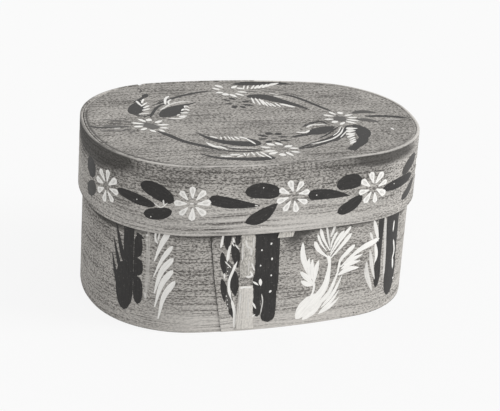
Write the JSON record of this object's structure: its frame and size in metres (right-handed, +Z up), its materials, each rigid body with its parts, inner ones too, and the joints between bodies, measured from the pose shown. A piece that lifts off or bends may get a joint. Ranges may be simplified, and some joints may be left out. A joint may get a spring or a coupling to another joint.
{
  "type": "bentwood box",
  "caption": "Oval box of thin bent wood with a deep lift-off lid, laced laps, pegged boards and painted folk flowers.",
  "frame": {"origin": "middle of the box's foot, on the surface it stands on", "axes": "+X along the long axis towards the slightly narrower end, -Y towards the front with the laced lap, +Z up"},
  "size_m": [0.27, 0.1883, 0.1395],
  "materials": {
    "band_wood": "aged, dry, fine grain",
    "board_wood": "aged, dry, fine grain",
    "peg_wood": "dark end grain",
    "bast": "pale fibrous strip",
    "paint_dark": "thin near-black brushed paint",
    "paint_light": "thin off-white brushed paint"
  },
  "bodies": {
    "box": {"box_band": "band_wood", "box_bottom": "board_wood", "box_bottom_pegs": "peg_wood", "box_seam_ribbon": "bast"},
    "lid": {"lid_band": "band_wood", "lid_board": "board_wood", "lid_board_pegs": "peg_wood", "lid_seam_ribbon": "bast", "lid_shim": "bast"}
  },
  "joints": [
    {"name": "lid_lift", "type": "slide", "parent": "box", "child": "lid", "axis": [0, 0, 1], "range_m": [0, 0.08]}
  ]
}
